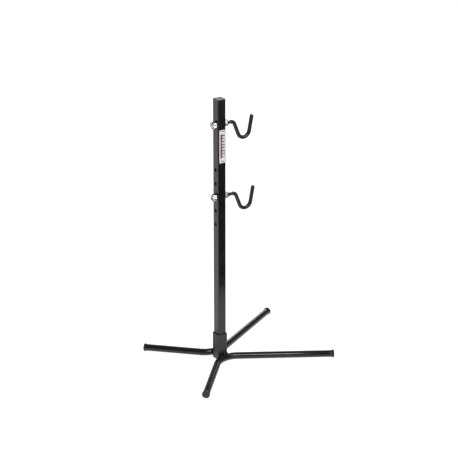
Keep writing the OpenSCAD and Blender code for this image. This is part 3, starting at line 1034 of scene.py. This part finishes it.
def ring_on_stud(word, name, node, side, bore, edges, finish, body):
    """A washer or ring with round edges. Side 1 is the hook's side of the post, and -1 the hand nut's."""
    low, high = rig.box(f"{word}_{node}")
    place = stud_place(low.y if side > 0 else high.y, (low.z + high.z) / 2, side)
    thick, outer = high.y - low.y, (high.z - low.z) / 2
    profile = rounded([(0, bore, edges[0]), (0, outer, edges[1]), (thick, outer, edges[1]),
                       (thick, bore, edges[0])])
    shell = Shell()
    turned(shell, Path(place), profile, NUT_STEPS, joined=True)
    slot = "ring_rubber" if finish is ring_rubber else "washer_plating"
    piece(f"{word}_{name}", shell, [finish], f"{word}_{body}", slot, f"{word}_{node}")


def make_lock_nut(word):
    """A hexagon nut, chamfered on both faces, with countersunk ends to its bore."""
    node = f"{word}_lock_nut"
    low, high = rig.box(node)
    place = stud_place(low.y, stud_z(word))
    thick, flat = high.y - low.y, (high.z - low.z) / 2
    angles = all_round(NUT_STEPS)
    corner, face_r = flat / cos(pi / 6) - NUT_CORNER_CUT, flat - NUT_FACE_INSET
    hexagon = [min(flat / cos((a + pi / 6) % (pi / 3) - pi / 6), corner) for a in angles]
    shell = Shell()

    def ring(radii, depths, far):
        """One loop at these depths from the near or the far face."""
        return shell.loop(place @ Vector((thick - d if far else d, r * cos(a), r * sin(a)))
                          for r, d, a in zip(radii, depths, angles))

    end = [([r] * NUT_STEPS, [depth] * NUT_STEPS)
           for r, depth in ((NUT_BORE_R, NUT_SINK), (NUT_BORE_R + NUT_SINK, 0), (face_r, 0))]
    end.append((hexagon, [(r - face_r) * tan(NUT_CHAMFER) for r in hexagon]))
    loops = [ring(*level, False) for level in end] + [ring(*level, True) for level in reversed(end)]
    shell.chain(loops, joined=True)
    piece(f"{word}_hexagon_nut", shell, [nut_zinc], f"{word}_lock", "nut_plating", node)


HAND_NUT_R = 9 * MM
HUB_R = 5.25 * MM
HUB_H = 1 * MM
NOTCHES = 9
NOTCH_R = 1.4 * MM
NOTCH_DEPTH = 0.7 * MM
POCKET_R = (5.5 * MM, 7.64 * MM)
POCKET_ARC = radians(80)
POCKET_DEPTH = 5 * MM
POCKET_CORNER = 0.5 * MM
POCKET_RIM = 0.15 * MM
POCKETS = 3
POCKET_STEPS = 18
POCKET_CORNER_STEPS = 5
HAND_NUT_STEPS = 216
HAND_NUT_RIM = 0.45 * MM
HUB_RIM = 0.3 * MM
HUB_BEND = 0.09 * MM
HUB_FILLET = 0.06 * MM
# Points nearer than this, in mm, are one point where a face is filled
FILL_LIMIT = 1e-5
HAND_NUT_TURN = {"upper": radians(60), "lower": radians(73)}


def notched_radius(angle, inset):
    """Radius of a hand nut's rim, with round shoulders to its notches."""
    spacing = 2 * pi / NOTCHES
    turn = angle % spacing - spacing / 2
    centre = HAND_NUT_R + NOTCH_R - NOTCH_DEPTH
    rim, notch = HAND_NUT_R - inset, NOTCH_R + inset
    reach = centre * sin(turn)
    if abs(reach) >= notch:
        return rim
    return min(rim, centre * cos(turn) - sqrt(notch ** 2 - reach ** 2))


def pocket_outline(middle_angle, inset):
    """A curved slot round the hub with round corners, narrowed by inset: (x, z) pairs."""
    offset = POCKET_CORNER - inset
    inner, outer = POCKET_R[0] + POCKET_CORNER, POCKET_R[1] - POCKET_CORNER
    half = POCKET_ARC / 2 - POCKET_CORNER / ((inner + outer) / 2)
    out = []

    def arc(radius, first, last, count, centre=(0, 0)):
        for i in range(count + 1):
            a = first + (last - first) * i / count
            out.append((centre[0] + radius * cos(a), centre[1] + radius * sin(a)))

    low, high = middle_angle - half, middle_angle + half
    arc(outer + offset, low, high, POCKET_STEPS)
    for quarter, (radius, angle) in enumerate(((outer, high), (inner, high), (inner, low), (outer, low))):
        if quarter == 2:
            arc(inner - offset, high, low, POCKET_STEPS)
        start = angle + radians(90 * quarter)
        centre = (radius * cos(angle), radius * sin(angle))
        arc(offset, start, start + pi / 2, POCKET_CORNER_STEPS, centre)
    return out


def inside(x, y, outline):
    """Whether a flat point lies inside an outline."""
    odd = False
    for (ax, ay), (bx, by) in zip(outline, outline[1:] + outline[:1]):
        if (ay > y) != (by > y) and x < ax + (bx - ax) * (y - ay) / (by - ay):
            odd = not odd
    return odd


def fill(shell, loops):
    """Triangles inside the first loop and outside the others, all in one plane across Y."""
    index = [i for loop in loops for i in loop]
    outlines = [[(shell.points[i].x / MM, shell.points[i].z / MM) for i in loop] for loop in loops]
    flat = [point for outline in outlines for point in outline]
    edges, first = [], 0
    for loop in loops:
        edges += [(first + i, first + (i + 1) % len(loop)) for i in range(len(loop))]
        first += len(loop)
    faces, source = delaunay_2d_cdt([Vector(p) for p in flat], edges, [], 0, FILL_LIMIT)[2:4]
    for face in faces:
        corners = [source[i][0] for i in face]
        x, y = (sum(flat[i][axis] for i in corners) / 3 for axis in (0, 1))
        if inside(x, y, outlines[0]) and not any(inside(x, y, outline) for outline in outlines[1:]):
            shell.face([index[i] for i in corners])


def make_hand_nut(word):
    """A cast hand nut: notched rim, hub, and three deep pockets whose walls and floors are a near-black metal, painted
    shade.
    """
    node = f"{word}_hand_nut"
    low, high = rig.box(node)
    turn, face_y, z = HAND_NUT_TURN[word], high.y, stud_z(word)
    thick = high.y - low.y - HUB_H
    angles = all_round(HAND_NUT_STEPS)

    def loop(distance, outline):
        return shell.loop((x, face_y - distance, z + up) for x, up in outline)

    def notched(inset):
        radii = [notched_radius(a - turn, inset) for a in angles]
        return [(r * cos(a), r * sin(a)) for r, a in zip(radii, angles)]

    shell = Shell()
    outer = [loop(HAND_NUT_RIM * a, notched(HAND_NUT_RIM * b)) for a, b in reversed(RIM)]
    outer += [loop(thick - HAND_NUT_RIM * a, notched(HAND_NUT_RIM * b)) for a, b in RIM]
    top = thick + HUB_H
    hub = [(HUB_R + HUB_FILLET, thick), (HUB_R + HUB_FILLET / 3, thick + HUB_FILLET / 3),
           (HUB_R, thick + HUB_FILLET), (HUB_R, top - HUB_RIM), (HUB_R - HUB_BEND, top - HUB_BEND),
           (HUB_R - HUB_RIM, top), (NUT_BORE_R + HUB_RIM, top), (NUT_BORE_R, top - HUB_RIM),
           (NUT_BORE_R, HUB_RIM), (NUT_BORE_R + HUB_RIM, 0)]
    inner = [loop(distance, circle(radius, angles)) for radius, distance in hub]
    shell.chain(outer)
    shell.chain(inner)
    shell.bridge(inner[-1], outer[0])
    mouths = []
    floor = thick - POCKET_DEPTH
    for i in range(POCKETS):
        angle = turn + i * 2 * pi / POCKETS
        walls = [loop(thick - POCKET_RIM * b, pocket_outline(angle, -POCKET_RIM * a)) for a, b in RIM]
        deep = [loop(floor + POCKET_RIM * a, pocket_outline(angle, POCKET_RIM * b)) for a, b in RIM]
        shell.chain(walls)
        # The pocket walls below the rim and the pocket floors take finish 1, the near-black metal of painted shade
        shell.bridge(walls[-1], deep[0], 1)
        shell.chain(deep, finish=1)
        shell.face(deep[-1], 1)
        mouths.append(walls[0])
    fill(shell, [outer[-1], inner[0]] + mouths)
    piece(f"{word}_cast_nut", shell, [hand_nut_chrome, pocket_painted_shade], f"{word}_knob",
          "hand_nut_plating", node)


def make_hook(word):
    make_rod(word)
    make_sleeve(word)
    ring_on_stud(word, "inner_washer", "lock_washer", 1, WASHER_BORE_R, WASHER_EDGES, washer_zinc, "lock")
    make_lock_nut(word)
    ring_on_stud(word, "rubber_ring", "stop_ring", 1, NUT_BORE_R, RING_EDGES, ring_rubber, "lock")
    ring_on_stud(word, "outer_washer", "clamp_washer", -1, WASHER_BORE_R, WASHER_EDGES, washer_zinc,
                 "clamp")
    make_hand_nut(word)


# ---- stage ----

FLOOR_GLOW = 0.98
FLOOR_TINT = (1, 0.95, 0.962, 1)
FLOOR_R = 30.0
BACKDROP_H = 12.0
BACKDROP_GLOW = 1.1
CARD_R = 0.4
CARD_H = 0.53
CARD_FROM = radians(12)
CARD_TO = radians(57)
CARD_STEPS = 24
FLOOR_STEPS = 96
PALE_GREY = (0.34, 0.36)
CARD_GREY = (0.004, 0.006)
STAGE_CLOUD = 2.0
CARD_CLOUD = 0.1
WORLD_GLOW = 0.2
WHITE = (1, 1, 1, 1)
LIGHT_AIM = (0, 0, 0.1)
# Soft boxes: place, width, height, radiance
LIGHTS = {"key": ((1.45, 0.39, 2.0), 2.3, 0.5, 15), "back": ((-1.9, 1.9, 1.15), 2.2, 0.6, 4.2)}


def area_light(name, place, width, height, radiance):
    """A soft box of this brightness, which is what shows in a mirror."""
    data = bpy.data.lights.new(name, "AREA")
    data.shape = "RECTANGLE"
    data.size, data.size_y = width, height
    data.energy = radiance * pi * width * height
    aim(put(name, data), place, Vector(LIGHT_AIM) - Vector(place))


def stage_piece(name, points, faces, material):
    mesh = bpy.data.meshes.new(name)
    mesh.from_pydata(points, [], faces)
    mesh.materials.append(material)
    made = put(name, mesh)
    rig.stage(made)
    return made


def plain_finish(name, cloud, greys, roughness, glow=0.0, tint=WHITE):
    """A plain cloudy grey, with a glow of its own."""
    finish = Finish(name, Roughness=roughness, Emission_Strength=glow, Emission_Color=tint)
    finish.feed("Base Color", finish.noise(cloud, *greys))
    return finish.material


def make_stage():
    """A glowing pale floor, a far white wall that only the camera sees, a black card that only reflections
    show, where the bicycle's wheel stood, and soft boxes."""
    steps = FLOOR_STEPS
    rim = [(x, y, 0) for x, y in circle(FLOOR_R, all_round(steps))]
    paint = plain_finish("floor_paint", STAGE_CLOUD, PALE_GREY, 0.6, FLOOR_GLOW, FLOOR_TINT)
    stage_piece("floor", rim, [list(range(steps))], paint)
    white = plain_finish("backdrop_white", STAGE_CLOUD, PALE_GREY, 0.9, BACKDROP_GLOW)
    wall = [(i, (i + 1) % steps, (i + 1) % steps + steps, i + steps) for i in range(steps)]
    backdrop = stage_piece("backdrop", rim + [(x, y, BACKDROP_H) for x, y, _ in rim], wall, white)
    backdrop.visible_diffuse = backdrop.visible_glossy = backdrop.visible_shadow = False
    black = plain_finish("card_black", CARD_CLOUD, CARD_GREY, 0.9)
    count = CARD_STEPS + 1
    arc = circle(CARD_R, [CARD_FROM + (CARD_TO - CARD_FROM) * i / CARD_STEPS for i in range(count)])
    points = [(x, y, z) for z in (0, CARD_H) for x, y in arc]
    faces = [(i, i + 1, i + 1 + count, i + count) for i in range(CARD_STEPS)]
    card = stage_piece("card", points, faces, black)
    card.visible_camera = card.visible_shadow = card.visible_diffuse = False
    world = bpy.data.worlds.new("studio")
    world.use_nodes = True
    background = world.node_tree.nodes["Background"]
    background.inputs["Color"].default_value = WHITE
    background.inputs["Strength"].default_value = WORLD_GLOW
    bpy.context.scene.world = world
    bpy.context.scene.view_settings.view_transform = "Standard"
    for name, settings in LIGHTS.items():
        area_light(name, *settings)


# ---- distances from the image points ----

SHOWS_WITHIN = 0.3 * MM
AT_EDGE = 0.1 * MM


class Sight:
    """The vertices of the finished pieces that the camera sees, and where they show in the image."""

    def __init__(self):
        graph = bpy.context.evaluated_depsgraph_get()
        self.places, points, faces = {}, [], []
        for name, made in pieces.items():
            mesh = made.evaluated_get(graph).to_mesh()
            self.places[name] = [made.matrix_world @ v.co for v in mesh.vertices]
            faces += [[len(points) + i for i in polygon.vertices] for polygon in mesh.polygons]
            points += self.places[name]
        self.tree = BVHTree.FromPolygons(points, faces)
        self.start = camera.matrix_world.translation

    def shows(self, place):
        reach = place - self.start
        hit = self.tree.ray_cast(self.start, reach.normalized())[3]
        return hit is None or hit > reach.length - SHOWS_WITHIN

    def middle(self, name, part=lambda place: True):
        """The middle of what shows of a piece, or of a part of it."""
        places = [place for place in self.places[name] if part(place) and self.shows(place)]
        seen = np.array([on_image(place) for place in places])
        return tuple((seen.min(axis=0) + seen.max(axis=0)) / 2)

    def corner(self, name, place):
        """The vertex that shows nearest to a place."""
        nearest = sorted(self.places[name], key=lambda vertex: (vertex - place).length)
        return on_image(next(vertex for vertex in nearest if self.shows(vertex)))

    def outermost(self, axis, sign, names):
        """The outermost vertex that shows, along one axis of the image."""
        everything = [(on_image(place), place) for name in names for place in self.places[name]]
        everything.sort(key=lambda pair: sign * pair[0][axis])
        return next(image for image, place in everything if self.shows(place))


def measure_points():
    sight = Sight()
    tops = {"cap": ("post_cap_moulding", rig.box("post_cap")[1]),
            "socket_rim": ("socket_sleeve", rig.box("base_socket")[1])}
    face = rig.box("post_tube")[0].y
    red = [place.z for place in sight.places["red_block"]]
    heights = hole_heights()

    def hole(z):
        centre = Vector((0, face, z))
        return sight.middle("post_skin", lambda place: (place - centre).length < HOLE_R + 2 * HOLE_RIM)

    found = {
        "left_x": sight.outermost(0, 1, pieces)[0],
        "top_y": sight.outermost(1, 1, pieces)[1],
        "bottom_y": sight.outermost(1, -1, pieces)[1],
        "first_row_hole": hole(heights[4]),
        "last_row_hole": hole(heights[0]),
        "red_block_top": sight.middle("red_block", lambda place: place.z > max(red) - AT_EDGE),
        "red_block_bottom": sight.middle("red_block", lambda place: place.z < min(red) + AT_EDGE),
        "front_foot": sight.middle("outer_right_foot"),
    }
    for word in ("upper", "lower"):
        found[f"{word}_hand_nut"] = sight.middle(f"{word}_cast_nut")
        found[f"{word}_hook_tip"] = sight.outermost(1, 1, [f"{word}_sleeve"])
    for which, across, along in (("left", -1, -1), ("near", 1, -1), ("right", 1, 1)):
        for top, (name, high) in tops.items():
            corner = Vector((across * high.x, along * high.x, high.z))
            found[f"{top}_{which}"] = sight.corner(name, corner)
    away = {name: [round(float(d), 2) for d in np.subtract(found[name], IMAGE_POINTS[name]).flatten()]
            for name in IMAGE_POINTS}
    with open("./points.json", "w") as out:
        json.dump(away, out, indent=1)


make_base()
post = make_post()
make_post_cap()
make_scale_strip(post)
for word in ("upper", "lower"):
    make_hook(word)
make_stage()

try:
    measure_points()
except Exception as problem:
    print("image points not measured:", problem)

with open("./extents.json", "w") as out:
    json.dump({"cad": cad_box, "visual": [list(corner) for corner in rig.bounds()]}, out)
